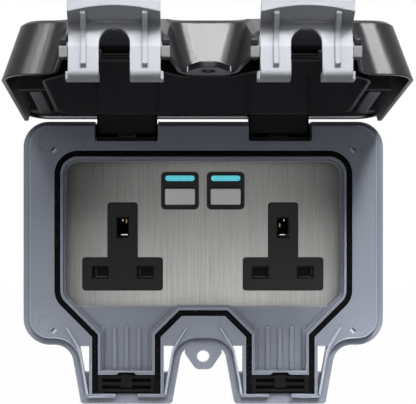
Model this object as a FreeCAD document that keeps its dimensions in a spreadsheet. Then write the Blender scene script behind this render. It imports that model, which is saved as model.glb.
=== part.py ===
import FreeCAD, Part
import os
import re

import Sketcher

# Outdoor weatherproof twin socket, lid open. Millimetres, +Z up, front towards -Y.
# The origin is the centre of the wall face. A level is a distance forward of the wall.

doc = FreeCAD.newDocument("outdoor_socket")
sheet = doc.addObject("Spreadsheet::Sheet", "Sizes")
pieces = []

# Case outline, seen from the front.
SIZES = [
    ("case_depth", 54.0), ("case_half", 87.2), ("case_top", 53.8), ("case_low", 54.4),
    ("corner_top", 12.3), ("corner_low", 13.0), ("shoulder", 9.0), ("arch", 8.0),
    ("spout_x", 37.2), ("case_mouth", 22.1), ("case_neck", 27.2), ("case_spout", 83.0),
    ("spout_corner", 2.0), ("spout_depth", 8.7),
    # Rebate round the front face, and walls of the frame.
    ("rebate", 3.6), ("rebate_top", 2.1), ("rebate_depth", 2.9), ("frame_lap", 5.2),
    ("lap_play", 0.3), ("frame_wall", 5.0), ("front_wall", 2.6),
    # Back box and its gasket.
    ("box_depth", 32.0), ("box_half", 84.4), ("box_top", 51.0), ("box_low", 51.6),
    ("box_corner", 10.0), ("box_wall", 3.0), ("gasket", 1.2), ("gasket_edge", 2.6),
    ("fixing_x", 60.0), ("fixing_z", 30.0), ("fixing_r", 2.5),
    ("entry_r", 10.2), ("entry_ring", 0.8), ("entry_cut", 1.6), ("entry_level", 16.0),
    # Seal path round the opening, as the centre line of the foam strip.
    ("seal_half", 70.5), ("seal_top", 38.3), ("seal_neck", 49.8), ("seal_mid", 38.8),
    ("seal_spout", 15.15), ("seal_low", 77.9), ("seal_w", 2.9), ("seal_t", 2.8),
    ("seal_sunk", 0.2), ("seal_corner", 10.0), ("knee_r", 9.0),
    ("channel_w", 1.95), ("land_w", 1.2), ("step_w", 1.05), ("land_t", 2.5),
    # Opening over the faceplate and the cable wells.
    ("plate_level", 42.0), ("window_low", 36.1), ("well_depth", 5.5),
    ("rib_w", 1.7), ("rib_pitch", 5.85), ("rib_top", 45.9), ("rib_low", 66.5), ("rib_rise", 1.2),
    ("ledge_top", 66.8), ("comb_top", 68.6), ("bite_half", 4.8), ("bite_slope", 1.3),
    ("bite_rise", 1.1), ("comb_floor", 7.0), ("notch_half", 5.5),
    ("slot_top", 54.6), ("slot_low", 68.0), ("pit_low", 78.0), ("slot_land", 18.0),
    ("fin_w", 1.1), ("fin_rise", 0.8), ("fin_tip_x", 29.7), ("fin_tip_z", 45.5), ("fin_bend_z", 56.2),
    # Screws that hold the frame on the box, and their caps.
    ("screw_x", 75.7), ("screw_top", 43.4), ("screw_low", 43.8), ("screw_r", 2.0),
    ("screw_head_r", 3.4), ("screw_head", 2.6), ("screw_run", 28.0), ("screw_seat", 8.0),
    ("boss_r", 5.4), ("cap_r", 4.0), ("cap_t", 2.0), ("pin_play", 0.05),
    ("pry_off", 3.5), ("pry_half", 1.1), ("pry_t", 1.2),
    # Padlock lug under the arch.
    ("lug_top", 8.9), ("lug_tip", 3.6), ("lug_z", 66.3), ("lug_t", 4.0), ("lock_z", 60.1), ("lock_r", 3.0),
    # Hinge of the lid.
    ("hinge_back", 10.9), ("hinge_z", 45.8), ("pin_r", 1.4), ("barrel_r", 2.9), ("knuckle_half", 14.0),
    ("bay_half", 15.3), ("bay_low", 44.3), ("bay_floor", 42.5), ("bay_back", 36.0), ("bay_wall", 2.6),
    ("bay_corner", 1.2), ("arm_low", 44.6), ("arm_top", 49.4), ("lid_open", 97.5),
    # Lid.
    ("lid_gap", 0.3), ("lid_wall", 1.8), ("lid_low_depth", 25.0), ("lid_depth", 31.0),
    ("lid_draft", 9.8), ("lid_draft_top", 5.0), ("lid_reach", 36.0), ("nose_z", 90.0),
    ("nose_level", 6.4), ("brow_z", 50.0), ("crown_z", 6.0), ("lid_edge", 1.5),
    ("rail_in", 74.0), ("rail_out", 79.4), ("rail_low", 7.0), ("shelf_w", 1.6),
    ("rim_cut_z", 41.5), ("rim_cut", 3.2), ("rib_wall", 1.6), ("mouth_cut", 5.0),
    ("ear_in", 18.3), ("ear_t", 2.4), ("ear_low", 88.6), ("ear_half", 4.2), ("groove_w", 1.9),
    ("groove_cut", 0.6), ("bridge_t", 6.0), ("tab_t", 2.6),
    # Latches.
    ("latch_half", 17.9), ("latch_t", 1.8), ("latch_z", 91.0), ("latch_pin_z", 86.9),
    ("latch_pin_r", 2.3), ("latch_pin_up", 3.0), ("latch_snap", 2.05), ("hook_low", 10.2), ("hook_t", 3.2),
    ("hook_tip", 83.5), ("crease_up", 10.1), ("cut_half", 6.05), ("cut_rim", 0.5), ("gusset_rise", 1.3), ("tab_out", 7.6),
    ("tab_up", 3.8), ("tab_thick", 5.0), ("tab_root", 2.4), ("tab_scoop", 2.2), ("scoop_r", 64.0),
    ("crease_r", 2.9), ("lip_w", 1.1), ("gusset_x", 11.9), ("gusset_w", 2.1), ("cheek_t", 1.6),
    # Faceplate and T-shaped inserts.
    ("plate_half", 68.2), ("plate_top", 36.2), ("plate_low", 38.0), ("plate_t", 1.2), ("plate_corner", 3.0),
    ("outlet_x", 39.5), ("stem_half", 7.3), ("stem_top", 14.6), ("bar_half", 19.7), ("bar_top", 12.4),
    ("bar_low", 28.5), ("tee_r", 1.5), ("tee_proud", 0.3), ("tee_play", 0.1), ("flange_w", 1.6),
    ("flange_t", 2.8), ("earth_z", 2.5), ("line_drop", 22.2), ("line_x", 11.1),
    ("earth_w", 2.6), ("earth_l", 4.5), ("line_w", 3.6), ("line_l", 2.4), ("bevel", 0.8),
    # Module behind the plate.
    ("module_half", 64.0), ("module_top", 33.0), ("module_low", 35.0), ("module_back", 16.0),
    ("module_corner", 3.0), ("ear_x", 77.6), ("lug_ear_z", 22.0), ("ear_r", 4.2), ("ear_hole", 1.75),
    ("ear_thick", 3.4), ("mod_screw_r", 1.4), ("mod_head_r", 2.9), ("mod_head", 2.3), ("mod_run", 11.0),
    ("clip_t", 0.8), ("clip_run", 15.0), ("pit_floor", 3.0),
    ("shutter_half", 14.8), ("shutter_t", 1.6), ("shutter_z", 3.8), ("shutter_run", 6.0),
    ("terminal_r", 2.2), ("terminal_run", 6.0),
    # Push buttons with light bars, and what is behind them.
    ("key_x", 11.25), ("bezel_z", 20.5), ("bezel_half", 9.1), ("bezel_r", 2.2), ("bezel_proud", 0.6),
    ("bezel_flange", 1.1), ("bezel_depth", 3.6), ("light_up", 6.1), ("light_half", 7.2), ("light_high", 1.35),
    ("key_down", 2.9), ("key_half", 7.65), ("key_high", 4.3), ("key_r", 1.0), ("key_proud", 0.3),
    ("key_play", 0.2), ("key_travel", 1.0), ("key_edge", 0.5), ("board_level", 30.0), ("board_t", 1.6), ("board_room", 3.0),
    ("bay_play", 0.2), ("switch_half", 3.0), ("switch_t", 3.4),
]

SLOPE = "(case_neck - case_mouth) / (case_spout - case_low)"

DERIVED = [
    ("slope", SLOPE), ("lean", "sqrt(1 + slope * slope)"),
    ("step_level", "case_depth - rebate_depth"), ("rim_level", "step_level + lid_gap"),
    ("spout_back", "case_depth - spout_depth"), ("ledge_level", "box_depth + gasket"),
    ("skirt_back", "ledge_level - frame_lap"), ("floor_level", "case_depth - well_depth"),
    ("seal_edge", "seal_w / 2"), ("hinge_level", "case_depth - hinge_back"),
    ("seal_knee", "seal_neck - (seal_half - spout_x - seal_spout)"),
    ("seal_mid_half", "spout_x - seal_spout - (seal_neck - seal_mid)"),
    ("rib_half", "rib_w / 2"), ("rib_wall_half", "rib_wall / 2"), ("gusset_half", "gusset_w / 2"),
    ("line_z", "line_drop - earth_z"), ("plate_back", "plate_level - plate_t"),
    ("tee_back", "plate_back - flange_t"), ("latch_pin_level", "rim_level + latch_pin_up"),
    ("hook_level", "rim_level - hook_low"), ("crease_level", "rim_level + crease_up"),
    ("lid_far", "rim_level + lid_reach"), ("rib_tip", "case_depth + 0.1"), ("tan_half", "0.41421356"),
    ("light_z", "bezel_z + light_up"), ("button_z", "bezel_z - key_down"),
    ("key_back", "plate_back - bezel_depth"), ("latch_in", "latch_z - latch_t"),
    ("cut_level", "crease_level - cut_half - cut_rim"),
    ("pit_top_x", "case_mouth + (case_spout - slot_top) * slope - (rebate + fin_w / 2) * lean"),
    ("pit_low_x", "case_mouth + (case_spout - pit_low) * slope - (rebate + fin_w / 2) * lean"),
    ("slot_low_x", "case_mouth + (case_spout - slot_low) * slope - (rebate + fin_w / 2) * lean"),
    ("fin_out_x", "case_mouth + (case_spout - fin_bend_z) * slope - rebate * lean"),
    ("fin_in_x", "case_mouth + (case_spout - fin_bend_z) * slope - (rebate + fin_w) * lean"),
    ("lip_out_x", "case_mouth + (case_spout - pit_low) * slope - rebate * lean"),
    ("lip_in_x", "case_mouth + (case_spout - pit_low) * slope - (rebate + fin_w) * lean"),
]


def insets():
    """Cells of the case outline moved inwards, one set for each use."""
    uses = [("face", "rebate", "rebate_top"), ("lidin", "lid_wall", "lid_wall"),
            ("far", "lid_draft", "lid_draft_top"),
            ("farin", "(lid_draft + lid_wall)", "(lid_draft_top + lid_wall)"),
            ("fin", "(rebate + fin_w)", "rebate_top")]
    cells = []
    for tag, inset, top in uses:
        cells += [
            (tag + "_half", "case_half - " + inset), (tag + "_top", "case_top - " + top),
            (tag + "_low", "case_low - " + inset), (tag + "_spout", "case_spout - " + inset),
            (tag + "_neck", f"case_mouth + (case_spout - {tag}_low) * slope - {inset} * lean"),
            (tag + "_mouth", f"case_mouth + {inset} * slope - {inset} * lean"),
        ]
    return cells


def offsets():
    """Cells of the seal path moved outwards, or inwards where the distance is negative."""
    uses = [("sealout", "seal_edge"), ("sealin", "(-seal_edge)"), ("tray", "(seal_edge + channel_w)"),
            ("land", "(-seal_edge - land_w)"), ("well", "(-seal_edge - land_w - step_w)"),
            ("ribout", "rib_wall_half"), ("ribin", "(-rib_wall_half)")]
    cells = []
    for tag, out in uses:
        cells += [
            (tag + "_half", "seal_half + " + out), (tag + "_top", "seal_top + " + out),
            (tag + "_knee", f"seal_knee + tan_half * {out}"), (tag + "_neck", f"seal_neck + tan_half * {out}"),
            (tag + "_spout", "seal_spout + " + out), (tag + "_mid", "seal_mid + " + out),
            (tag + "_midx", f"seal_mid_half - tan_half * {out}"),
        ]
    return cells


def fill_sheet():
    """Driving sizes as plain numbers, then the sizes that follow from them."""
    row = 1
    for name, value in SIZES:
        sheet.set(f"A{row}", name)
        sheet.set(f"B{row}", str(value))
        sheet.setAlias(f"B{row}", name)
        row += 1
    for name, formula in DERIVED + insets() + offsets():
        sheet.set(f"A{row}", name)
        sheet.set(f"B{row}", "=" + formula)
        sheet.setAlias(f"B{row}", name)
        row += 1
    doc.recompute()


def terms(text):
    """A signed sum such as 'spout_x - 2' as pairs of sign and word."""
    pairs = re.findall(r"([-+\s]*)([A-Za-z_]\w*|\d+\.?\d*)", text)
    return [("-" if signs.count("-") % 2 else "+", word) for signs, word in pairs]


def size(text):
    """The value of a signed sum of sheet names and numbers."""
    total = 0.0
    for sign, word in terms(text):
        amount = float(word) if word[0].isdigit() else float(sheet.get(word))
        total += -amount if sign == "-" else amount
    return total


def bound(text):
    """The same sum as an expression on the sheet."""
    words = [sign + (word if word[0].isdigit() else "Sizes." + word) for sign, word in terms(text)]
    return " ".join(words).lstrip("+")


def minus(text):
    """The sum with every sign turned."""
    return " ".join(("+" if sign == "-" else "-") + word for sign, word in terms(text))


def mirror(loop):
    """A loop, or a circle, on the other side of the middle plane."""
    if loop[0] == "circle":
        return ("circle", minus(loop[1]), loop[2], loop[3])
    return [(minus(point[0]),) + tuple(point[1:]) for point in reversed(loop)]


def both(*loops):
    """Loops on the right side and their mirror images."""
    return list(loops) + [mirror(loop) for loop in loops]


def box_loop(left, right, low, top, radius=None):
    corners = [(left, low), (right, low), (right, top), (left, top)]
    return [point + (radius,) if radius else point for point in corners]


def circle(x, z, radius):
    return ("circle", x, z, radius)


def new_body(name):
    body = doc.addObject("PartDesign::Body", name)
    body.Label = name
    return body


def piece(name):
    body = new_body(name)
    pieces.append(body)
    return body


def bind(owner, path, text):
    owner.setExpression(path, bound(text))


def draw_circle(sketch, loop):
    _, x, z, radius = loop
    centre = FreeCAD.Vector(size(x), size(z), 0)
    index = sketch.addGeometry(Part.Circle(centre, FreeCAD.Vector(0, 0, 1), size(radius)))
    for kind, text in (("DistanceX", x), ("DistanceY", z)):
        rule = sketch.addConstraint(Sketcher.Constraint(kind, -1, 1, index, 3, size(text)))
        bind(sketch, f"Constraints[{rule}]", text)
    rule = sketch.addConstraint(Sketcher.Constraint("Radius", index, size(radius)))
    bind(sketch, f"Constraints[{rule}]", radius)


def draw_loop(sketch, loop):
    """Closed outline through the points; a third entry rounds that corner."""
    first = sketch.GeometryCount
    count = len(loop)
    spots = [FreeCAD.Vector(size(point[0]), size(point[1]), 0) for point in loop]
    for k in range(count):
        sketch.addGeometry(Part.LineSegment(spots[k], spots[(k + 1) % count]))
    for k in range(count):
        sketch.addConstraint(Sketcher.Constraint("Coincident", first + k, 2, first + (k + 1) % count, 1))
    for k, point in enumerate(loop):
        for kind, text in (("DistanceX", point[0]), ("DistanceY", point[1])):
            rule = sketch.addConstraint(Sketcher.Constraint(kind, -1, 1, first + k, 1, size(text)))
            bind(sketch, f"Constraints[{rule}]", text)
    for k, point in enumerate(loop):
        if len(point) > 2:
            sketch.fillet(first + k, 1, size(point[2]), True, True)
            arc = sketch.GeometryCount - 2
            rule = sketch.addConstraint(Sketcher.Constraint("Radius", arc, size(point[2])))
            bind(sketch, f"Constraints[{rule}]", point[2])


def draw(body, name, loops, level, role="XZ_Plane"):
    """Sketch on one of the body's own planes, moved along its normal to the level."""
    sketch = body.newObject("Sketcher::SketchObject", name)
    plane = [item for item in body.Origin.OriginFeatures if item.Role == role][0]
    sketch.AttachmentSupport = [(plane, "")]
    sketch.MapMode = "FlatFace"
    bind(sketch, "AttachmentOffset.Base.z", level)
    for loop in loops:
        if loop[0] == "circle":
            draw_circle(sketch, loop)
        else:
            draw_loop(sketch, loop)
    return sketch


def add(body, name, loops, start, end, role="XZ_Plane"):
    """Material between two levels, within the loops."""
    pad = body.newObject("PartDesign::Pad", name)
    pad.Profile = draw(body, name + "_sketch", loops, start, role)
    bind(pad, "Length", end + " " + minus(start))
    doc.recompute()
    return pad


def cut(body, name, loops, start, end, role="XZ_Plane"):
    """Material taken away between two levels, within the loops."""
    before = body.Shape.Volume
    pocket = body.newObject("PartDesign::Pocket", name)
    pocket.Profile = draw(body, name + "_sketch", loops, start, role)
    pocket.Reversed = True
    bind(pocket, "Length", end + " " + minus(start))
    doc.recompute()
    if not body.Shape.Volume < before - 0.001:
        raise ValueError(name + " takes nothing away")
    return pocket


def find_edges(feature, test):
    return ["Edge%d" % (k + 1) for k, edge in enumerate(feature.Shape.Edges) if test(edge)]


def soften(body, name, kind, amount, test):
    """Fillet or chamfer on the edges of the body that pass the test."""
    base = body.Tip
    feature = body.newObject("PartDesign::" + kind, name)
    feature.Base = (base, find_edges(base, test))
    bind(feature, "Radius" if kind == "Fillet" else "Size", amount)
    doc.recompute()
    return feature


def at_level(level):
    """Test for edges that lie wholly at one distance from the wall."""
    def test(edge):
        box = edge.BoundBox
        return abs(box.YMin + size(level)) < 0.01 and abs(box.YMax + size(level)) < 0.01
    return test


def case_loop(tag, *radii):
    """The case outline of one set of cells, clockwise from the top left; sharp without radii."""
    half, top, low = tag + "_half", tag + "_top", "-" + tag + "_low"
    neck, mouth, spout = tag + "_neck", tag + "_mouth", "-" + tag + "_spout"
    right = [(half, top), (half, low), ("spout_x + " + neck, low), ("spout_x + " + mouth, spout),
             ("spout_x - " + mouth, spout), ("spout_x - " + neck, low)]
    if radii:
        right = [corner + (radius,) for corner, radius in zip(right, radii)]
    return right + mirror(right)


def seal_loop(tag, corner, knee, low="seal_low"):
    """The seal path of one set of cells, down both spouts to the given height."""
    side, spout = "spout_x + " + tag + "_spout", "spout_x - " + tag + "_spout"
    right = [(tag + "_half", tag + "_top", corner), (tag + "_half", "-" + tag + "_knee", knee),
             (side, "-" + tag + "_neck"), (side, minus(low)), (spout, minus(low)),
             (spout, "-" + tag + "_neck"), (tag + "_midx", "-" + tag + "_mid")]
    return right + mirror(right)


def plain_case(top_r="corner_top", low_r="corner_low"):
    """The case outline without its spouts."""
    return [("case_half", "case_top", top_r), ("case_half", "-case_low", low_r),
            ("-case_half", "-case_low", low_r), ("-case_half", "case_top", top_r)]


def box_outline(inset="0", corner="box_corner"):
    return box_loop(f"-box_half + {inset}", f"box_half - {inset}", f"-box_low + {inset}",
                    f"box_top - {inset}", corner)


def screw_spots(radius):
    return both(circle("screw_x", "screw_top", radius), circle("screw_x", "-screw_low", radius))


def ear_spots(radius):
    return both(circle("ear_x", "lug_ear_z", radius), circle("ear_x", "-lug_ear_z", radius))


def make_back_box():
    body = piece("back_box")
    add(body, "box_block", [box_outline()], "0", "box_depth")
    cut(body, "box_hollow", [box_outline("box_wall", "box_corner - box_wall")], "box_wall", "box_depth")
    add(body, "box_bosses", screw_spots("boss_r - 0.4"), "box_wall - 1", "box_depth")
    cut(body, "box_pilots", screw_spots("screw_r + pin_play"), "box_wall + 8", "box_depth")
    fixings = both(circle("fixing_x", "fixing_z", "fixing_r"), circle("fixing_x", "-fixing_z", "fixing_r"))
    cut(body, "box_fixings", fixings, "0", "box_wall")
    rings = []
    for radius in ("entry_r", "entry_r - entry_ring"):
        rings += both(circle("spout_x", "-entry_level", radius))
    cut(body, "entries_low", rings, "-box_low", "-box_low + entry_cut", "XY_Plane")
    cut(body, "entries_top", rings, "box_top - entry_cut", "box_top", "XY_Plane")


def make_gasket():
    body = piece("box_gasket")
    edge = "gasket_edge"
    ring = [box_outline("0.2", "box_corner - 0.2"), box_outline(edge, "box_corner - " + edge)]
    add(body, "gasket_ring", ring, "box_depth", "ledge_level")


def spout_local(points):
    """Points about the middle of the right spout, mirrored to the left one."""
    return both([("spout_x + " + point[0],) + tuple(point[1:]) for point in points])


def frame_shell(body):
    """Skirt over the box, spouts and front face, hollowed from behind."""
    add(body, "skirt", [plain_case()], "skirt_back", "step_level")
    whole = case_loop("case", "corner_top", "corner_low", "shoulder", "spout_corner", "spout_corner",
                      "arch")
    add(body, "spouts", [whole], "spout_back", "step_level")
    face = case_loop("face", "corner_top - 2.8", "corner_low - rebate", "shoulder + rebate",
                     "1", "1", "arch + rebate")
    add(body, "face", [face], "step_level", "case_depth")
    lap = box_outline("-lap_play", "box_corner + lap_play")
    cut(body, "lap", [lap], "skirt_back", "ledge_level")
    inner = [("case_half - frame_wall", "case_top - frame_wall", "corner_top - frame_wall"),
             ("case_half - frame_wall", "-case_low + frame_wall", "corner_low - frame_wall"),
             ("-case_half + frame_wall", "-case_low + frame_wall", "corner_low - frame_wall"),
             ("-case_half + frame_wall", "case_top - frame_wall", "corner_top - frame_wall")]
    cut(body, "hollow", [inner], "ledge_level", "case_depth - front_wall")


def frame_opening(body):
    """Seal channel, faceplate window and cable wells."""
    add(body, "tray", [seal_loop("tray", "seal_corner + 3.4", "knee_r + 3.4", "case_low")],
        "plate_level", "case_depth - 1")
    cut(body, "land", [seal_loop("land", "seal_corner - 2.6", "knee_r - 2.6", "ledge_top")],
        "case_depth - land_t", "case_depth")
    cut(body, "wells", [seal_loop("well", "seal_corner - 3.7", "knee_r - 3.7", "ledge_top")],
        "floor_level", "case_depth")
    right = [("well_half", "well_top", "seal_corner - 3.7"), ("well_half", "-well_knee", "knee_r - 3.7"),
             ("well_half - window_low + well_knee", "-window_low")]
    cut(body, "window", [right + mirror(right)], "plate_level", "floor_level")
    groove = [seal_loop("sealout", "seal_corner + 1.45", "knee_r + 1.45"),
              seal_loop("sealin", "seal_corner - 1.45", "knee_r - 1.45", "comb_top")]
    cut(body, "seal_groove", groove, "case_depth - seal_t - seal_sunk", "case_depth")


def frame_wells(body):
    """Ribs on the well floors, the ledge with its bite, and the comb pocket."""
    ribs = []
    for step in ("- rib_pitch - rib_pitch", "- rib_pitch", "+ 0", "+ rib_pitch", "+ rib_pitch + rib_pitch"):
        ribs += spout_local([(f"{step} - rib_half", "-rib_low"), (f"{step} + rib_half", "-rib_low"),
                             (f"{step} + rib_half", "-rib_top", "rib_half - 0.1"),
                             (f"{step} - rib_half", "-rib_top", "rib_half - 0.1")])
    add(body, "well_ribs", ribs, "floor_level", "floor_level + rib_rise")
    pocket = spout_local(comb_outline())
    cut(body, "comb_pocket", pocket, "case_depth - comb_floor", "case_depth")
    notch = spout_local([("-notch_half", "-case_spout"), ("notch_half", "-case_spout"),
                         ("notch_half", "-seal_low"), ("-notch_half", "-seal_low")])
    cut(body, "cable_notch", notch, "step_level", "case_depth")


def comb_outline():
    """The cable seal, seen from the front, with its trapezoid bump."""
    edge = "sealin_spout"
    return [("-" + edge, "-seal_low"), (edge, "-seal_low"), (edge, "-comb_top"),
            ("bite_half", "-comb_top"), ("bite_half - bite_slope", "-comb_top + bite_rise"),
            ("-bite_half + bite_slope", "-comb_top + bite_rise"), ("-bite_half", "-comb_top"),
            ("-" + edge, "-comb_top")]


def frame_spouts(body):
    """Pits and through slots beside the spouts, and the curved fins."""
    pit = [("slot_land", "-pit_low"), ("slot_land", "-slot_top"),
           ("pit_top_x", "-slot_top"), ("pit_low_x", "-pit_low")]
    slot = [("slot_land", "-slot_low"), ("slot_land", "-slot_top"),
            ("pit_top_x", "-slot_top"), ("slot_low_x", "-slot_low")]
    fin = [("fin_tip_x", "-fin_tip_z"), ("fin_out_x", "-fin_bend_z", "12"),
           ("lip_out_x", "-pit_low"), ("lip_in_x", "-pit_low"),
           ("fin_in_x", "-fin_bend_z", "11"), ("fin_tip_x - fin_w", "-fin_tip_z - 0.6")]
    cut(body, "side_pits", pair_sides(pit), "step_level", "case_depth")
    cut(body, "side_slots", pair_sides(slot), "spout_back", "step_level")
    add(body, "fins", pair_sides(fin), "step_level", "case_depth + fin_rise")


def pair_sides(points):
    """A shape on the outer side of each spout and its image on the inner side."""
    outer = [("spout_x + " + point[0],) + tuple(point[1:]) for point in points]
    inner = [("spout_x " + minus(point[0]),) + tuple(point[1:]) for point in reversed(points)]
    return both(outer, inner)


def frame_hinges(body):
    """Bays for the lid's arms, with walls that hold the hinge pins."""
    walls = both(box_loop("spout_x - bay_half - bay_wall", "spout_x + bay_half + bay_wall",
                          "tray_top - 1", "case_top - frame_wall"))
    add(body, "bay_walls", walls, "bay_back - bay_wall", "case_depth - front_wall")
    bays = both(box_loop("spout_x - bay_half", "spout_x + bay_half", "bay_low", "case_top + 5", "bay_corner"))
    cut(body, "bays", bays, "bay_back", "case_depth")
    lows = both(box_loop("spout_x - bay_half", "spout_x + bay_half", "bay_floor", "bay_low + 3"))
    cut(body, "bay_floors", lows, "bay_back", "case_depth - front_wall")
    hole = [circle("-hinge_level", "hinge_z", "pin_r + 0.02")]
    for side in ("-spout_x - bay_half - bay_wall", "spout_x - bay_half - bay_wall"):
        cut(body, "pin_hole", hole, side, side + " + bay_half + bay_half + bay_wall + bay_wall", "YZ_Plane")


def frame_screws(body):
    """Columns for the frame screws, with cap seats and pry notches."""
    add(body, "columns", screw_spots("boss_r"), "ledge_level", "case_depth - front_wall")
    cut(body, "cap_seats", screw_spots("cap_r"), "case_depth - cap_t", "case_depth")
    cut(body, "head_bores", screw_spots("screw_head_r + 0.3"), "case_depth - screw_seat", "case_depth - cap_t")
    cut(body, "screw_holes", screw_spots("screw_r + 0.15"), "ledge_level", "case_depth - screw_seat")
    notches = []
    for z in ("screw_top", "-screw_low"):
        x, low = "screw_x - pry_off", z + " - pry_off"
        notches += both([(x + " - pry_half", low), (x, low + " - pry_half"),
                         (x + " + pry_half", low), (x, low + " + pry_half")])
    cut(body, "pry_notches", notches, "case_depth - pry_t", "case_depth")
    add(body, "ear_columns", ear_spots("ear_r - 0.8"), "plate_back", "case_depth - front_wall")
    cut(body, "ear_pilots", ear_spots("mod_screw_r + pin_play"), "plate_back", "plate_back + 8")


def lug_outline(top):
    return [("-lug_top", top), ("-lug_top", "-lock_z + 1.5"), ("-lug_tip", "-lug_z", "lug_tip"),
            ("lug_tip", "-lug_z", "lug_tip"), ("lug_top", "-lock_z + 1.5"), ("lug_top", top)]


def make_frame():
    body = piece("front_frame")
    frame_shell(body)
    frame_opening(body)
    frame_wells(body)
    frame_hinges(body)
    frame_screws(body)
    frame_spouts(body)
    add(body, "lock_lug", [lug_outline("-case_low + 2")], "step_level - lug_t", "step_level")
    cut(body, "lock_hole", [circle("0", "-lock_z", "lock_r")], "step_level - lug_t", "step_level")


def make_seal():
    body = piece("lid_seal")
    ring = [seal_loop("sealout", "seal_corner + 1.45", "knee_r + 1.45"),
            seal_loop("sealin", "seal_corner - 1.45", "knee_r - 1.45", "seal_low - seal_w")]
    add(body, "seal_ring", ring, "case_depth - seal_t - seal_sunk", "case_depth - seal_sunk")
    gap = spout_local([("-sealin_spout", "-seal_low - 1"), ("sealin_spout", "-seal_low - 1"),
                       ("sealin_spout", "-comb_top"), ("-sealin_spout", "-comb_top")])
    cut(body, "comb_gaps", gap, "step_level - 1", "case_depth")


def side_name(base, sign):
    return base + ("_right" if sign > 0 else "_left")


def to_side(loops, sign):
    return loops if sign > 0 else [mirror(loop) for loop in loops]


def about(loops, centre):
    """Loops drawn about a centre on the right side of the case."""
    moved = []
    for loop in loops:
        if loop[0] == "circle":
            moved.append(("circle", f"{centre} + {loop[1]}", loop[2], loop[3]))
        else:
            moved.append([(f"{centre} + {point[0]}",) + tuple(point[1:]) for point in loop])
    return moved


def make_cable_seal(sign):
    """Rubber comb that closes on the cables in the mouth of a spout."""
    body = piece(side_name("cable_seal", sign))

    def place(loops):
        return to_side(about(loops, "spout_x"), sign)
    floor = "case_depth - comb_floor"
    add(body, "comb_base", place([comb_outline()]), floor, floor + " + 3.6")
    add(body, "comb_sides", place([box_loop("sealin_spout - 2", "sealin_spout", "-seal_low", "-comb_top"),
                                   box_loop("-sealin_spout", "-sealin_spout + 2", "-seal_low", "-comb_top"),
                                   box_loop("-2.7", "2.7", "-seal_low + 3", "-comb_top")]),
        floor + " + 3", "case_depth - 0.4")
    rows = [box_loop("-sealin_spout + 2", "-2.7", f"-comb_top - {low}", f"-comb_top - {low} + 1.4")
            for low in ("1.9", "5.2")]
    rows += [[(minus(point[0]),) + tuple(point[1:]) for point in reversed(row)] for row in rows]
    rows.append(box_loop("-sealin_spout + 2", "sealin_spout - 2", "-comb_top - 8.4", "-comb_top - 7"))
    add(body, "comb_teeth", place(rows), floor + " + 3", "case_depth - 0.7")


def make_screws():
    body = piece("frame_screws")
    seat = "case_depth - screw_seat"
    add(body, "shanks", screw_spots("screw_r"), seat + " - screw_run", seat)
    add(body, "heads", screw_spots("screw_head_r"), seat, seat + " + screw_head")
    slots = both(box_loop("screw_x - 2.4", "screw_x + 2.4", "screw_top - 0.4", "screw_top + 0.4"),
                 box_loop("screw_x - 2.4", "screw_x + 2.4", "-screw_low - 0.4", "-screw_low + 0.4"))
    cut(body, "head_slots", slots, seat + " + screw_head - 1", seat + " + screw_head")
    caps = piece("screw_caps")
    add(caps, "discs", screw_spots("cap_r - pin_play"), "case_depth - cap_t", "case_depth - 0.1")
    mods = piece("module_screws")
    ear_face = "plate_back - ear_thick"
    add(mods, "mod_heads", ear_spots("mod_head_r"), ear_face + " - mod_head", ear_face)
    add(mods, "mod_shanks", ear_spots("mod_screw_r"), ear_face, ear_face + " + mod_run")


def make_hinge_pins():
    body = piece("hinge_pins")
    for side in ("-spout_x", "spout_x"):
        add(body, "pin", [circle("-hinge_level", "hinge_z", "pin_r")], side + " - bay_half - bay_wall",
            side + " + bay_half + bay_wall", "YZ_Plane")


def tee(grow, corner="tee_r"):
    """T shape of a socket insert about its own middle."""
    stem, bar, top = "stem_half" + grow, "bar_half" + grow, "stem_top" + grow
    bar_top, low = "-bar_top" + grow, minus("bar_low" + grow)
    return [(minus(bar), low, corner), (bar, low, corner), (bar, bar_top, corner), (stem, bar_top),
            (stem, top, corner), (minus(stem), top, corner), (minus(stem), bar_top),
            (minus(bar), bar_top, corner)]


def apertures(grow=""):
    """Pin openings about the middle of an outlet: earth on top, the two others below."""
    earth = box_loop(f"-earth_w {minus(grow)}", f"earth_w {grow}", f"earth_z - earth_l {minus(grow)}",
                     f"earth_z + earth_l {grow}")
    lines = [box_loop(f"{x} - line_w {minus(grow)}", f"{x} + line_w {grow}", f"-line_z - line_l {minus(grow)}",
                      f"-line_z + line_l {grow}") for x in ("-line_x", "line_x")]
    return [earth] + lines


def bezel_loop(grow="", corner="bezel_r"):
    return box_loop(f"key_x - bezel_half {minus(grow)}", f"key_x + bezel_half {grow}",
                    f"bezel_z - bezel_half {minus(grow)}", f"bezel_z + bezel_half {grow}", corner)


def make_plate():
    body = piece("steel_plate")
    add(body, "sheet", [box_loop("-plate_half", "plate_half", "-plate_low", "plate_top", "plate_corner")],
        "plate_back", "plate_level")
    cut(body, "tee_cuts", both(about([tee(" + tee_play")], "outlet_x")[0]), "plate_back", "plate_level")
    cut(body, "bezel_cuts", both(bezel_loop("+ tee_play")), "plate_back", "plate_level")


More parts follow.
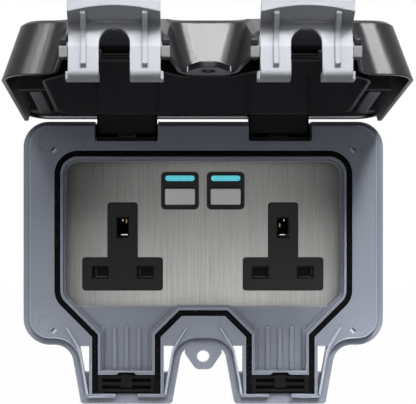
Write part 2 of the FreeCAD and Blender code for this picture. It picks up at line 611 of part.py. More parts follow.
def make_insert(sign):
    """Moulded T insert with bevelled pin openings and a flange behind the plate."""
    body = piece(side_name("socket_insert", sign))

    def place(loops):
        return to_side(about(loops, "outlet_x"), sign)
    add(body, "flange", place([tee(" + flange_w")]), "tee_back", "plate_back")
    add(body, "tee", place([tee("")]), "plate_back", "plate_level + tee_proud")
    cut(body, "pin_ways", place(apertures()), "tee_back", "plate_level + tee_proud")
    front = "plate_level + tee_proud"
    ways = [loop for loop in place(apertures())]
    spans = [(min(size(p[0]) for p in way) - 0.01, max(size(p[0]) for p in way) + 0.01,
              min(size(p[1]) for p in way) - 0.01, max(size(p[1]) for p in way) + 0.01) for way in ways]

    def on_mouth(edge):
        box = edge.BoundBox
        if abs(box.YMin + size(front)) > 0.01 or abs(box.YMax + size(front)) > 0.01:
            return False
        return any(box.XMin > a and box.XMax < b and box.ZMin > c and box.ZMax < d for a, b, c, d in spans)
    soften(body, "mouth_bevels", "Chamfer", "bevel", on_mouth)


def make_module():
    """Housing behind the plate, with the contact wells and shutter tracks."""
    body = piece("socket_module")
    add(body, "block", [box_loop("-module_half", "module_half", "-module_low", "module_top", "module_corner")],
        "module_back", "plate_back")
    ears = both(box_loop("module_half - 2", "ear_x + ear_r", "lug_ear_z - ear_r", "lug_ear_z + ear_r"),
                box_loop("module_half - 2", "ear_x + ear_r", "-lug_ear_z - ear_r", "-lug_ear_z + ear_r"))
    add(body, "ears", ears, "plate_back - ear_thick", "plate_back")
    cut(body, "ear_holes", ear_spots("ear_hole"), "plate_back - ear_thick", "plate_back")
    flanges = about([tee(" + flange_w + pin_play")], "outlet_x")
    cut(body, "flange_beds", both(flanges[0]), "tee_back", "plate_back")
    cut(body, "button_bay", [board_outline("bay_play")], "board_level - board_room", "plate_back")
    track = about([box_loop("-shutter_half - 0.1", "shutter_half + 0.1", "-line_z - shutter_z - shutter_run - 2",
                            "-line_z + shutter_z + 0.1")], "outlet_x")
    cut(body, "shutter_tracks", both(track[0]), "tee_back - shutter_t - 0.2", "tee_back")
    earth = about([box_loop("-earth_w - clip_t - 0.4", "earth_w + clip_t + 0.4",
                            "earth_z - earth_l - 0.5", "earth_z + earth_l + 0.5")], "outlet_x")
    lines = about([box_loop("-line_x - line_w - 0.4", "-line_x + line_w + 0.4", "-line_z - 3.4", "-line_z + 3.4"),
                   box_loop("line_x - line_w - 0.4", "line_x + line_w + 0.4", "-line_z - 3.4", "-line_z + 3.4")],
                  "outlet_x")
    cut(body, "contact_wells", both(*(earth + lines)), "module_back + pit_floor", "tee_back")
    screws = about([circle("0", "earth_z", "terminal_r"), circle("-line_x", "-line_z", "terminal_r"),
                    circle("line_x", "-line_z", "terminal_r")], "outlet_x")
    cut(body, "terminal_bores", both(*screws), "module_back", "module_back + pit_floor")


def clip_pair(body, spot, low, high, across):
    """Two spring leaves and the strap that joins them at the back of a contact well."""
    base = "module_back + pit_floor"
    if across == "x":
        leaves = [box_loop(f"{spot} - earth_w - 0.2 - clip_t", f"{spot} - earth_w - 0.2", low, high),
                  box_loop(f"{spot} + earth_w + 0.2", f"{spot} + earth_w + 0.2 + clip_t", low, high)]
        strap = box_loop(f"{spot} - earth_w - 0.2 - clip_t", f"{spot} + earth_w + 0.2 + clip_t", low, high)
    else:
        left, right = f"{spot} - line_w + 0.6", f"{spot} + line_w - 0.6"
        leaves = [box_loop(left, right, f"{low} - clip_t", low), box_loop(left, right, high, f"{high} + clip_t")]
        strap = box_loop(left, right, f"{low} - clip_t", f"{high} + clip_t")
    add(body, "straps", both(*about([strap], "outlet_x")), base, base + " + clip_t")
    add(body, "leaves", both(*about(leaves, "outlet_x")), base + " + clip_t", base + " + clip_run")


def make_contacts():
    earth = piece("earth_contacts")
    clip_pair(earth, "0", "earth_z - earth_l + 0.5", "earth_z + earth_l - 0.5", "x")
    low, high = "-line_z - line_l - 0.05", "-line_z + line_l + 0.05"
    clip_pair(piece("live_contacts"), "line_x", low, high, "z")
    clip_pair(piece("neutral_contacts"), "-line_x", low, high, "z")
    screws = piece("terminal_screws")
    spots = about([circle("0", "earth_z", "terminal_r - pin_play"),
                   circle("-line_x", "-line_z", "terminal_r - pin_play"),
                   circle("line_x", "-line_z", "terminal_r - pin_play")], "outlet_x")
    add(screws, "terminals", both(*spots), "module_back + pit_floor - terminal_run", "module_back + pit_floor")


def make_shutter(sign):
    """Sliding guard behind the two lower pin openings, and the spring under it."""
    body = piece(side_name("shutter", sign))
    back = "tee_back - shutter_t - 0.1"
    plate = [box_loop("-shutter_half", "shutter_half", "-line_z - shutter_z", "-line_z + shutter_z")]
    add(body, "guard", to_side(about(plate, "outlet_x"), sign), back, back + " + shutter_t")
    spring = piece(side_name("shutter_spring", sign))
    top = "-line_z - shutter_z"
    add(spring, "wave", to_side(about([wave_loop(top)], "outlet_x"), sign), back + " + 0.4", back + " + 1.2")


def wave_loop(top):
    """Flat wave spring: a band 0.6 wide that runs to and fro four times."""
    band, pitch, half = 0.6, 1.9, 3.0
    z_at = [0.3 + k * pitch for k in range(4)]
    path = [(-half, z_at[0]), (half, z_at[0]), (half, z_at[1] + band), (-half + band, z_at[1] + band),
            (-half + band, z_at[2]), (half, z_at[2]), (half, z_at[3] + band), (-half, z_at[3] + band),
            (-half, z_at[3]), (half - band, z_at[3]), (half - band, z_at[2] + band), (-half, z_at[2] + band),
            (-half, z_at[1]), (half - band, z_at[1]), (half - band, z_at[0] + band), (-half, z_at[0] + band)]
    return [(f"{'-' if x < 0 else ''}{abs(x):.1f}", f"{top} - {z:.1f}") for x, z in path]


def make_buttons(sign):
    """Bezel, light bar and key of one push button."""
    def place(loops):
        return to_side(loops, sign)
    light = box_loop("key_x - light_half", "key_x + light_half", "light_z - light_high", "light_z + light_high",
                     "light_high - 0.05")
    key = box_loop("key_x - key_half", "key_x + key_half", "button_z - key_high", "button_z + key_high", "key_r")
    key_way = box_loop("key_x - key_half - key_play", "key_x + key_half + key_play",
                       "button_z - key_high - key_play", "button_z + key_high + key_play", "key_r + key_play")
    front = "plate_level + bezel_proud"
    bezel = piece(side_name("button_bezel", sign))
    add(bezel, "bezel_flange", place([bezel_loop("+ bezel_flange")]), "key_back", "plate_back")
    add(bezel, "bezel_front", place([bezel_loop()]), "plate_back", front)
    cut(bezel, "light_way", place([light]), "key_back", front)
    cut(bezel, "key_way", place([key_way]), "key_back", front)
    bar = piece(side_name("light_bar", sign))
    add(bar, "bar", place([light]), "key_back", front + " + 0.1")
    button = piece(side_name("button_key", sign))
    add(button, "cap", place([key]), "key_back", front + " + key_proud")
    soften(button, "cap_edge", "Chamfer", "key_edge", at_level(front + " + key_proud"))


def board_outline(grow):
    """Rectangle that holds both button bezels."""
    side = f"key_x + bezel_half + bezel_flange + {grow}"
    high = f"bezel_half + bezel_flange + {grow}"
    return box_loop(minus(side), side, "bezel_z " + minus(high), "bezel_z + " + high)


def make_board():
    """Circuit board behind the buttons, on the floor of its bay, with two switches."""
    board = piece("control_board")
    add(board, "laminate", [board_outline("0")], "board_level", "board_level + board_t")
    add(board, "stand", [board_outline("-3")], "board_level - board_room", "board_level")
    switches = piece("tact_switches")
    face = "board_level + board_t"
    add(switches, "switch_bodies", both(box_loop("key_x - switch_half", "key_x + switch_half",
                                                 "button_z - switch_half", "button_z + switch_half")),
        face, face + " + switch_t")
    add(switches, "plungers", both(circle("key_x", "button_z", "1.6")), face + " + switch_t",
        "key_back - key_travel - 0.2")


def lid_side_profile(drop):
    """What is cut off above the lid's front, seen from the side: y is minus the level."""
    low, high = f"-rim_level - lid_low_depth + {drop}", f"-rim_level - lid_depth + {drop}"
    far = "-lid_far - 6"
    return [(f"-rim_level - nose_level + {drop}", "-nose_z"), (low, "-brow_z"), (high, "crown_z"),
            (high, "case_top + 4"), (far, "case_top + 4"), (far, "-nose_z")]


def slanted_at(corner):
    """Test for the drafted edges that start at one corner of an outline, or at its mirror image."""
    def test(edge):
        near = max(edge.Vertexes, key=lambda end: end.Y)
        at_corner = abs(abs(near.X) - abs(size(corner[0]))) < 0.02 and abs(near.Z - size(corner[1])) < 0.02
        return at_corner and edge.BoundBox.YLength > 5
    return test


def lid_block(body, near, far, drop):
    """Drafted block from the rim outline to the far outline, sloped in front."""
    loft = body.newObject("PartDesign::AdditiveLoft", "drafted")
    loft.Profile = draw(body, "rim_outline", [case_loop(near)], "rim_level")
    loft.Sections = [draw(body, "far_outline", [case_loop(far)], "lid_far")]
    loft.Ruled = True
    doc.recompute()
    cut(body, "front_slope", [lid_side_profile(drop)], "-case_half - 5", "case_half + 5", "YZ_Plane")


def round_corners(body, near, radii):
    for corner, radius in zip(case_loop(near), radii):
        soften(body, "corners", "Fillet", radius, slanted_at(corner))


def make_lid():
    """Lid moulding: drafted shell, seal rib, arms, ears and padlock tab, drawn closed."""
    body = piece("lid_shell")
    radii = ("corner_top", "corner_low", "shoulder", "spout_corner + 1.5", "spout_corner + 1.5", "arch")
    lid_block(body, "case", "far", "0")
    round_corners(body, "case", radii)
    soften(body, "front_edges", "Chamfer", "lid_edge", lid_front_edge)
    hollow = new_body("lid_hollow")
    radii = ("corner_top - lid_wall", "corner_low - lid_wall", "shoulder + lid_wall", "0.6", "0.6",
             "arch + lid_wall")
    lid_block(hollow, "lidin", "farin", "lid_wall + 0.4")
    round_corners(hollow, "lidin", radii)
    ring = [seal_loop("ribout", "seal_corner + rib_wall_half", "knee_r + rib_wall_half", "seal_low - 0.6"),
            seal_loop("ribin", "seal_corner - rib_wall_half", "knee_r - rib_wall_half",
                      "seal_low - 0.6 - rib_wall")]
    cut(hollow, "seal_rib", ring, "rib_tip", "lid_far")
    lid_bridges(hollow)
    scoop = body.newObject("PartDesign::Boolean", "scoop")
    scoop.Type = "Cut"
    scoop.setObjects([hollow])
    body.Tip = scoop
    doc.recompute()
    lid_details(body)
    return body


def lid_front_edge(edge):
    """The edges where the drafted walls meet the flat and sloped front."""
    box, middle = edge.BoundBox, edge.CenterOfMass
    across = box.YLength < 0.01 and box.ZLength < 0.01 and middle.z < size("hinge_z") - 20
    return box.YMax < -size("rim_level") - 2 and not across


def lid_bridges(hollow):
    """Band between the seal rib and the top wall that carries the arms, rails and shelves."""
    band = [box_loop("-case_half", "case_half", "seal_top", "case_top + 2")]
    cut(hollow, "band", band, "rib_tip + 1.8", "rib_tip + 1.8 + bridge_t")
    rails = both(box_loop("rail_in", "rail_out", "-rail_low", "hinge_z - 6"))
    cut(hollow, "rails", rails, "rib_tip + 0.6", "lid_far")
    shelves = both(box_loop("ribin_half", "case_half", "-rail_low - shelf_w", "-rail_low"))
    cut(hollow, "shelves", shelves, "rib_tip + 1.4", "lid_far")


def lid_details(body):
    """Arms, hinge bores, ears with snap bores, cable mouths and the padlock tab."""
    cut(body, "rim_step", [box_loop("-case_half - 5", "case_half + 5", "rim_cut_z", "case_top + 5")],
        "rim_level", "rim_level + rim_cut")
    arms = both(box_loop("spout_x - knuckle_half", "spout_x + knuckle_half", "arm_low", "arm_top"))
    add(body, "arms", arms, "hinge_level", "rib_tip + 2.4")
    for side in ("-spout_x", "spout_x"):
        start, end = side + " - knuckle_half", side + " + knuckle_half"
        add(body, "barrel", [circle("-hinge_level", "hinge_z", "barrel_r")], start, end, "YZ_Plane")
        cut(body, "barrel_bore", [circle("-hinge_level", "hinge_z", "pin_r + pin_play")], start, end, "YZ_Plane")
    grooves = []
    for edge in ("knuckle_half", "-knuckle_half - groove_w"):
        grooves += both(box_loop(f"spout_x + {edge}", f"spout_x + {edge} + groove_w",
                                 "ribin_top - 1", "ribin_top + groove_cut"))
    cut(body, "arm_grooves", grooves, "rib_tip", "rib_tip + 20")
    mouth = both(box_loop("spout_x - notch_half", "spout_x + notch_half", "-case_spout - 1", "-seal_low - 1"))
    cut(body, "cable_mouths", mouth, "rim_level", "rim_level + mouth_cut")
    ears(body)
    add(body, "lock_tab", [lug_outline("-case_low + 1")], "rim_level", "rim_level + tab_t")
    cut(body, "tab_hole", [circle("0", "-lock_z", "lock_r")], "rim_level", "rim_level + tab_t")


def ears(body):
    """Snap ears each side of a latch."""
    mid = "latch_pin_level"
    side = [(f"-{mid} + ear_half", "-ear_low"), (f"-{mid} - ear_half", "-ear_low"),
            (f"-{mid} - ear_half", "-case_spout + 2.6"), (f"-{mid} + ear_half - 1.4", "-case_spout + 2.6"),
            (f"-{mid} + ear_half - 1.4", "-case_spout - 0.4"), (f"-{mid} + ear_half", "-case_spout - 0.4")]
    gate = [(f"-{mid} + latch_snap", "-ear_low - 1"), (f"-{mid} - latch_snap", "-ear_low - 1"),
            (f"-{mid} - latch_snap", "-latch_pin_z"), (f"-{mid} + latch_snap", "-latch_pin_z")]
    for centre in ("-spout_x", "spout_x"):
        for start in (f"{centre} - ear_in - ear_t", f"{centre} + ear_in"):
            end = start + " + ear_t"
            add(body, "ear", [side], start, end, "YZ_Plane")
            cut(body, "ear_bore", [circle(f"-{mid}", "-latch_pin_z", "latch_pin_r + pin_play")], start, end,
                "YZ_Plane")
            cut(body, "ear_gate", [gate], start, end, "YZ_Plane")


def make_lid_seal(sign):
    """Rubber block in the lid's nose that meets the comb of the spout."""
    body = piece(side_name("lid_cable_seal", sign))
    half = "ribin_spout - pin_play"
    block = [box_loop(minus(half), half, "-seal_low + 4", "-comb_top + 1")]
    add(body, "pad", to_side(about(block, "spout_x"), sign), "case_depth + 0.2", "case_depth + 2.6")
    slits = [box_loop("-sealin_spout + 2.5", "sealin_spout - 2.5", f"-comb_top - {low}", f"-comb_top - {low} + 1")
             for low in ("1.6", "3.6")]
    cut(body, "slits", to_side(about(slits, "spout_x"), sign), "case_depth + 0.2", "case_depth + 1.4")
    return body


def thumb_tab(body, centre):
    """Flared tab with a scooped underside, from the crease of the lever to its thick end."""
    def section(near, far, dip, bend):
        return [(f"{centre} - latch_half", far), (f"{centre} - latch_half", near), (centre, f"{near} {dip}", bend),
                (f"{centre} + latch_half", near), (f"{centre} + latch_half", far)]
    root = section("-crease_level + 0.2", "-crease_level - tab_root", "- 0.3", "160")
    end = section("-crease_level - tab_up", "-crease_level - tab_up - tab_thick", "- tab_scoop - tab_scoop", "scoop_r")
    loft = body.newObject("PartDesign::AdditiveLoft", "thumb_tab")
    loft.Profile = draw(body, "tab_root", [root], "-latch_z + 0.9", "XY_Plane")
    loft.Sections = [draw(body, "tab_end", [end], "-latch_z - tab_out", "XY_Plane")]
    loft.Ruled = True
    doc.recompute()


def make_latch(sign):
    """Lever with two hooked legs, a scooped thumb tab and snap-in studs."""
    body = piece(side_name("latch", sign))
    centre = "spout_x" if sign > 0 else "-spout_x"
    side = [("-hook_level", "-hook_tip"), ("-hook_level", "-latch_z", "3"),
            ("-crease_level - 1", "-latch_z"), ("-crease_level - 1", "-latch_in"),
            ("-hook_level - hook_t", "-latch_in"), ("-hook_level - hook_t", "-hook_tip")]
    add(body, "lever", [side], f"{centre} - latch_half", f"{centre} + latch_half", "YZ_Plane")
    thumb_tab(body, centre)
    fill = [("-crease_level + 3.6", "-latch_z + 0.3"), ("-crease_level + 3.6", "-latch_z"),
            ("-crease_level - 0.1", "-latch_z", "crease_r"), ("-crease_level - 1.1", "-latch_z - 1.9"),
            ("-crease_level - 2.2", "-latch_z - 1.4"), ("-crease_level - 0.6", "-latch_z + 0.3")]
    add(body, "crease_fill", [fill], f"{centre} - latch_half", f"{centre} + latch_half", "YZ_Plane")
    lip = [(f"-hook_level", "-hook_tip"), ("-hook_level", "-latch_z + 2.6"),
           ("-hook_level - hook_t", "-latch_z + 2.6"), ("-hook_level - hook_t", "-hook_tip")]
    add(body, "hook_lip", [lip], f"{centre} - latch_half - lip_w", f"{centre} + latch_half + lip_w", "YZ_Plane")
    gap = [box_loop(f"{centre} - cut_half", f"{centre} + cut_half", "-latch_z - 3", "-hook_tip + 1")]
    cut(body, "leg_gap", gap, "hook_level - 1", "cut_level")
    arch = [circle(centre, "-cut_level", "cut_half")]
    cut(body, "arch_top", arch, "-latch_z - 1.5", "-hook_tip + 1", "XY_Plane")
    inner = "-latch_pin_z + latch_pin_r"
    cheek = [("-latch_pin_level + 2.6", "-latch_in"), ("-latch_pin_level - 4", "-latch_in"),
             ("-latch_pin_level - 2.3", inner), ("-latch_pin_level + 2.3", inner)]
    for start in (f"{centre} - latch_half", f"{centre} + latch_half - cheek_t"):
        add(body, "cheek", [cheek], start, start + " + cheek_t", "YZ_Plane")
    stud = [circle("-latch_pin_level", "-latch_pin_z", "latch_pin_r")]
    for start in (f"{centre} - ear_in - ear_t", f"{centre} + latch_half - cheek_t"):
        add(body, "stud", stud, start, start + " + ear_in + ear_t - latch_half + cheek_t", "YZ_Plane")
    gusset = [("-hook_level - 3.4", "-latch_z + 0.5"), ("-hook_level - 5.4", "-latch_z - gusset_rise"),
              ("-latch_pin_level - 2", "-latch_z - gusset_rise", "9"),
              ("-crease_level - tab_up + 0.6", "-latch_z - tab_out + 0.2"),
              ("-crease_level - tab_up - 0.6", "-latch_z - tab_out + 0.9"),
              ("-crease_level - 0.7", "-latch_z + 0.4")]
    for offset in (" - gusset_x", " + gusset_x"):
        mid = centre + offset
        add(body, "gusset", [gusset], mid + " - gusset_half", mid + " + gusset_half", "YZ_Plane")
    return body


def swing(bodies):
    """Turn the lid's pieces open about the hinge pins."""
    centre = FreeCAD.Vector(0, -size("hinge_level"), size("hinge_z"))
    turn = FreeCAD.Rotation(FreeCAD.Vector(1, 0, 0), -size("lid_open"))
    for body in bodies:
        body.Placement = FreeCAD.Placement(FreeCAD.Vector(0, 0, 0), turn, centre)


def check_model():
    for item in doc.Objects:
        if "Invalid" in item.State or "Error" in item.State:
            raise ValueError(item.Name + " failed: " + str(item.State))
    for body in pieces:
        if body.Shape.isNull() or not body.Shape.isValid():
            raise ValueError(body.Label + " has no valid shape")


fill_sheet()
make_back_box()
make_gasket()
make_frame()
make_seal()
make_screws()
make_hinge_pins()
make_plate()
make_module()
make_contacts()
make_board()
lid = [make_lid()]
for side in (-1, 1):
    make_cable_seal(side)
    make_insert(side)
    make_shutter(side)
    make_buttons(side)
    lid.append(make_lid_seal(side))
    lid.append(make_latch(side))
swing(lid)
doc.recompute()
check_model()

os.makedirs("parts", exist_ok=True)
for body in pieces:
    body.Shape.exportStep(os.path.join("parts", body.Label + ".step"))
    print(body.Label, round(body.Shape.Volume, 1), len(body.Shape.Solids))
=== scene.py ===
import math

import bmesh
import bpy
from mathutils import Matrix, Vector
from mathutils.kdtree import KDTree


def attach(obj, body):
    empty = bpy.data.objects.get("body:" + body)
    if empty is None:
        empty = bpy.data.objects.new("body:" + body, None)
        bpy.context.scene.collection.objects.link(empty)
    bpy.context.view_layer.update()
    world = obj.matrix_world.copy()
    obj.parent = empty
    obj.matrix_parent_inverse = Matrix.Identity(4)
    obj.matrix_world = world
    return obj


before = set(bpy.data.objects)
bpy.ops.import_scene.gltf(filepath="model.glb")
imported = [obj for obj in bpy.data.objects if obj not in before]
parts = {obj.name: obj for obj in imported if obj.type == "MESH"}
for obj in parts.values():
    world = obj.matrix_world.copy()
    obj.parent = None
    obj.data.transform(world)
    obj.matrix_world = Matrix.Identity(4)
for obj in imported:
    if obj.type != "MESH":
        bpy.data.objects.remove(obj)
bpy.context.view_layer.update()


# The view. The socket is photographed from straight in front, about 62 cm from its face, with a
# long lens whose picture is moved a little sideways.
eye = bpy.data.cameras.new("view")
eye.lens = 110.9
eye.sensor_width = 36.0
eye.shift_x = 0.0796
eye.shift_y = 0.0231
eye.clip_start = 0.01
eye.clip_end = 20.0
eye_stand = bpy.data.objects.new("view", eye)
eye_stand.location = (-0.01376, -0.6728, 0.0102)
eye_stand.rotation_euler = (math.radians(90), 0.0, 0.0)
bpy.context.scene.collection.objects.link(eye_stand)
bpy.context.scene.camera = eye_stand
bpy.context.scene.view_settings.view_transform = "Standard"


# Back box: dark grey moulding that is screwed to the wall, with four fixing holes and the rings
# of its cable entries. Spark-eroded matt all over.
box_grey = (0.150, 0.162, 0.190)


class Wire:
    """What runs from one node to the next. A sum or product of numbers adds its Math node."""

    def __init__(self, nodes, socket):
        self.nodes = nodes
        self.socket = socket

    def _with(self, operation, first, second):
        return self.nodes.node("ShaderNodeMath", {"operation": operation}, {0: first, 1: second})

    def __add__(self, other):
        return self._with("ADD", self, other)

    def __radd__(self, other):
        return self._with("ADD", other, self)

    def __sub__(self, other):
        return self._with("SUBTRACT", self, other)

    def __rsub__(self, other):
        return self._with("SUBTRACT", other, self)

    def __mul__(self, other):
        return self._with("MULTIPLY", self, other)

    def __rmul__(self, other):
        return self._with("MULTIPLY", other, self)

    def __neg__(self):
        return self._with("SUBTRACT", 0.0, self)

    def clamped(self):
        return self.nodes.node("ShaderNodeClamp", {}, {"Value": self})

    def past(self, start, end):
        """0 up to start and 1 from end on, with a smooth way between them."""
        return self.nodes.node("ShaderNodeMapRange", {"interpolation_type": "SMOOTHSTEP"},
                               {0: self, 1: start, 2: end, 3: 0.0, 4: 1.0})


class Nodes:
    """The nodes of a finish, or of the sky over the studio."""

    def __init__(self, tree):
        self.tree = tree

    def node(self, kind, settings, sockets, output=0):
        made = self.tree.nodes.new(kind)
        for key, value in settings.items():
            setattr(made, key, value)
        for key, value in sockets.items():
            self.feed(made.inputs[key], value)
        return Wire(self, made.outputs[output])

    def feed(self, socket, value):
        if isinstance(value, Wire):
            self.tree.links.new(value.socket, socket)
        else:
            socket.default_value = value


class Finish(Nodes):
    """A material under construction, around one Principled shader."""

    def __init__(self, name, **constants):
        self.material = bpy.data.materials.new(name)
        self.material.use_nodes = True
        super().__init__(self.material.node_tree)
        self.shader = self.tree.nodes["Principled BSDF"]
        for socket, value in constants.items():
            self.drive(socket.replace("_", " "), value)

    def drive(self, name, value):
        self.feed(self.shader.inputs[name], value)

    def place(self, stretch=(1.0, 1.0, 1.0)):
        here = self.node("ShaderNodeTexCoord", {}, {}, "Object")
        return self.node("ShaderNodeVectorMath", {"operation": "MULTIPLY"}, {0: here, 1: stretch})

    def across(self, axis):
        """The place in the frame along one axis, in metres: 0 is right, 1 is back, 2 is up."""
        return self.node("ShaderNodeSeparateXYZ", {}, {0: self.place()}, axis)

    def facing(self, axis):
        """How squarely a piece at rest faces along one axis: 1 along it, -1 against it."""
        normal = self.node("ShaderNodeTexCoord", {}, {}, "Normal")
        return self.node("ShaderNodeSeparateXYZ", {}, {0: normal}, axis)

    def noise(self, scale, detail=2.0, stretch=(1.0, 1.0, 1.0), rough=0.5):
        return self.node("ShaderNodeTexNoise", {}, {"Vector": self.place(stretch), "Scale": scale,
                                                    "Detail": detail, "Roughness": rough})

    def blend(self, factor, first, second):
        """The first colour where the factor is 0, and the second where it is 1."""
        ends = [(*colour, 1.0) if isinstance(colour, tuple) else colour for colour in (first, second)]
        return self.node("ShaderNodeMix", {"data_type": "RGBA"}, {0: factor, 6: ends[0], 7: ends[1]}, 2)

    def scaled(self, colour, amount):
        return self.node("ShaderNodeVectorMath", {"operation": "SCALE"}, {0: colour, 3: amount})

    def openness(self, reach):
        """1 on open faces, less in corners and hollows."""
        return self.node("ShaderNodeAmbientOcclusion", {"samples": 6}, {"Distance": reach}, "AO")

    def softened(self, radius):
        """The direction of the surface, as if its edges were rounded by a radius."""
        return self.node("ShaderNodeBevel", {"samples": 6}, {"Radius": radius})

    def edges(self, radius):
        """1 along the outer edges of a piece, within about a radius of them, and 0 elsewhere."""
        straight = self.node("ShaderNodeNewGeometry", {}, {}, "Normal")
        along = self.node("ShaderNodeVectorMath", {"operation": "DOT_PRODUCT"},
                          {0: self.softened(radius), 1: straight}, "Value")
        outer = self.openness(0.0015).past(0.62, 0.85)
        return (1.0 - along).past(0.01, 0.12) * outer

    def relief(self, height, distance, edge=0.0):
        """Fine bumps, on edges that are softened by a radius."""
        bumps = {"Height": height, "Distance": distance, "Strength": 1.0}
        if edge:
            bumps["Normal"] = self.softened(edge)
        self.drive("Normal", self.node("ShaderNodeBump", {}, bumps))


def shade(colour, amount):
    return tuple(min(1.0, channel * amount) for channel in colour)


def moulded(name, colour, roughness, grain=2200.0, depth=0.00002, edge=0.0004, spread=0.06, wear_and_edge_light=0.0,
            painted_corner_shade=0.0, proud=None, **constants):
    """Injection-moulded plastic: fine spark-eroded grain, faint flow marks and softened edges. The
    amount given for the edges paints them paler as a painted highlight, or darker below 0 as painted
    shade, and with proud it also paints what stands further than that from the wall paler. Hollow
    paints shade into the corners."""
    finish = Finish(name, **constants)
    flow = finish.noise(35.0, 4.0)
    fine = finish.noise(grain, 2.0)
    tint = finish.blend(flow, shade(colour, 1 - spread), shade(colour, 1 + spread))
    # Painted light and shade: paler or darker edges, paler proud faces and darker corners.
    if wear_and_edge_light or painted_corner_shade:
        painted_light_and_shade = finish.edges(edge) * wear_and_edge_light - (1.0 - finish.openness(0.0025)) * painted_corner_shade
        if proud:
            painted_light_and_shade = painted_light_and_shade + (-finish.across(1)).past(proud - 0.0001, proud + 0.0001) * wear_and_edge_light
        tint = finish.scaled(tint, 1.0 + painted_light_and_shade)
    finish.drive("Base Color", tint)
    finish.drive("Roughness", roughness + (flow - 0.5) * 0.08 + (fine - 0.5) * 0.06)
    finish.relief(fine, depth, edge)
    return finish.material


def wear(material, *names):
    """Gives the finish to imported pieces."""
    for name in names:
        part = parts[name]
        part.data.materials.clear()
        part.data.materials.append(material)


wear(moulded("box_plastic", box_grey, 0.52), "back_box")


# Gasket: thin black rubber frame with the outline of the back box. It is squeezed between the
# box and the front frame when the four screws are tight.
wear(moulded("gasket_rubber", (0.012, 0.012, 0.012), 0.75, edge=0.0002), "box_gasket")


# Front frame and screw caps: one blue-grey moulding with both spouts, the seal groove, the hinge
# bays and the padlock lug, and a pressed-in disc over each of its four screws. Fine grain, with
# painted highlights on the edges and painted shade in the corners; the proud fins are painted paler.
frame_grey = (0.245, 0.266, 0.318)
frame_front = -0.0540
fin_level = 0.0545
frame_plastic = moulded("frame_plastic", frame_grey, 0.42, depth=0.000015, edge=0.0005, spread=0.04, wear_and_edge_light=0.7,
                        painted_corner_shade=0.6, proud=fin_level, Specular_IOR_Level=0.3)
wear(frame_plastic, "front_frame", "screw_caps")

# Along its outline the front face ends in a fine raised bead, coloured paler than the frame as a
# painted highlight line. The bead leaves out the hinge bays and the places where the lid seal runs
# close to the outline.
bead_radius = 0.00028
level_play = 0.00003
seal_distance = 0.0022
bay_bottom, bay_inner, bay_outer = 0.035, 0.018, 0.0545


def outlines(faces):
    """The closed outlines round a set of faces, each as a list of places."""
    rims = {edge for side in faces for edge in side.edges
            if sum(other in faces for other in edge.link_faces) == 1}
    loops = []
    while rims:
        first = min(rims, key=lambda edge: edge.index)
        rims.discard(first)
        chain = list(first.verts)
        while True:
            onward = next((edge for edge in chain[-1].link_edges if edge in rims), None)
            if onward is None:
                break
            rims.discard(onward)
            chain.append(onward.other_vert(chain[-1]))
        loops.append([corner.co.copy() for corner in chain[:-1]])
    return loops


def hang(name, data, body):
    """Puts a made piece in the scene, to move with a body."""
    piece = bpy.data.objects.new(name, data)
    bpy.context.scene.collection.objects.link(piece)
    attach(piece, body)
    return piece


face = bmesh.new()
face.from_mesh(parts["front_frame"].data)
flat = {side for side in face.faces if side.normal.y < -0.99
        and all(abs(corner.co.y - frame_front) < level_play for corner in side.verts)}
border = max(outlines(flat), key=lambda loop: max(spot.x for spot in loop) - min(spot.x for spot in loop))
face.free()
seal_corners = parts["lid_seal"].data.vertices
seal_spots = KDTree(len(seal_corners))
for number, corner in enumerate(seal_corners):
    seal_spots.insert(corner.co, number)
seal_spots.balance()
beaded = [seal_spots.find(spot)[2] > seal_distance
          and not (spot.z > bay_bottom and bay_inner < abs(spot.x) < bay_outer) for spot in border]
start = next(number for number in range(len(border)) if beaded[number] and not beaded[number - 1])
runs = [[]]
for spot, has_bead in zip(border[start:] + border[:start], beaded[start:] + beaded[:start]):
    if has_bead:
        runs[-1].append(spot)
    elif runs[-1]:
        runs.append([])
bead_line = bpy.data.curves.new("frame_bead", "CURVE")
bead_line.dimensions = "3D"
bead_line.bevel_depth = bead_radius
bead_line.bevel_resolution = 2
for spots in runs:
    if len(spots) > 1:
        run = bead_line.splines.new("POLY")
        run.points.add(len(spots) - 1)
        for point, spot in zip(run.points, spots):
            point.co = (*spot, 1.0)
bead_line.materials.append(moulded("bead_highlight", shade(frame_grey, 1.45), 0.35, depth=0.00001, edge=0.0002))
hang("frame_bead", bead_line, "housing")

# Beside each screw cap a small notch lets a blade under it: a near-black gap, painted as the shadow
# in it, and a slanted floor painted paler than the frame, as a painted highlight.
cap_x, cap_top, cap_low = 0.0757, 0.0434, -0.0438
gap_painted_shadow = moulded("gap_shadow", (0.006, 0.006, 0.008), 0.6, edge=0.0001)
notch_painted_highlight = moulded("notch_highlight", shade(frame_grey, 2.0), 0.4, edge=0.0001)


def plain_block(name, material, body, middle, size, edge, tilt=0.0, turn=0.0):
    """A block with rounded edges at a place in the frame. It leans back by the tilt and turns in
    the picture by the turn, in degrees."""
    mesh = bpy.data.meshes.new(name)
    form = bmesh.new()
    bmesh.ops.create_cube(form, size=1.0)
    turned_back = Matrix.Rotation(math.radians(turn), 3, "Y") @ Matrix.Rotation(math.radians(tilt), 3, "X")
    for corner in form.verts:
        corner.co = Vector(middle) + turned_back @ (Vector(size) * corner.co)
    bmesh.ops.bevel(form, geom=form.edges[:], offset=edge, segments=3, affect="EDGES", profile=0.5)
    form.to_mesh(mesh)
    form.free()
    mesh.materials.append(material)
    hang(name, mesh, body)


for name, x, z in (("top_left", -cap_x, cap_top), ("top_right", cap_x, cap_top),
                   ("low_left", -cap_x, cap_low), ("low_right", cap_x, cap_low)):
    for kind, reach, thick, material in (("gap", 0.0042, 0.0005, gap_painted_shadow),
                                         ("floor", 0.0054, 0.0012, notch_painted_highlight)):
        diagonal = reach * math.sqrt(0.5)
        plain_block(f"cap_{kind}_{name}", material, "housing",
                    (x - math.copysign(diagonal, x), frame_front, z - diagonal), (0.0025, 0.0001, thick),
                    0.00003, turn=math.copysign(45, x))
